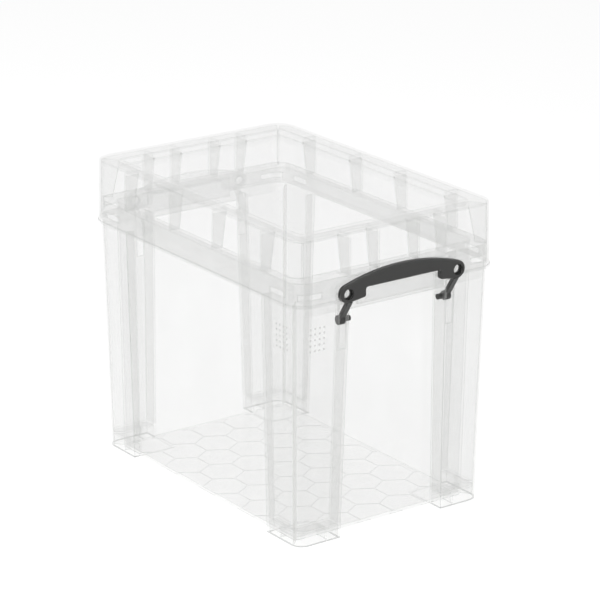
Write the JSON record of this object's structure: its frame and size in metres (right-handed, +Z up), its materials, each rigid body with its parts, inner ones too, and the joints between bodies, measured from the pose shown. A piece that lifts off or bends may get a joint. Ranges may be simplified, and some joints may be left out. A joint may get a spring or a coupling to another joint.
{
  "type": "record storage box",
  "caption": "Clear plastic box for twelve-inch record sleeves, with a deep lift-off lid and a swinging clip handle at each end.",
  "frame": {"origin": "middle of the box's footprint, on the ground", "axes": "+X along the long side towards the right handle, +Y across the box, +Z up"},
  "size_m": [0.3912, 0.254, 0.3245],
  "materials": {
    "clear_plastic": "gloss",
    "handle_plastic": "satin"
  },
  "bodies": {
    "box": {"box_body": "clear_plastic"},
    "lid": {"lid": "clear_plastic"},
    "right_handle": {"right_handle": "handle_plastic"},
    "left_handle": {"left_handle": "clear_plastic"}
  },
  "joints": [
    {"name": "lid_lift", "type": "slide", "parent": "box", "child": "lid", "axis": [0, 0, 1], "range_m": [0, 0.1]},
    {"name": "right_swing", "type": "hinge", "parent": "box", "child": "right_handle", "pos_m": [0.17855, 0, 0.2335], "axis": [0, 1, 0], "range_deg": [0, 130]},
    {"name": "left_swing", "type": "hinge", "parent": "box", "child": "left_handle", "pos_m": [-0.17855, 0, 0.2335], "axis": [0, -1, 0], "range_deg": [0, 130]}
  ]
}
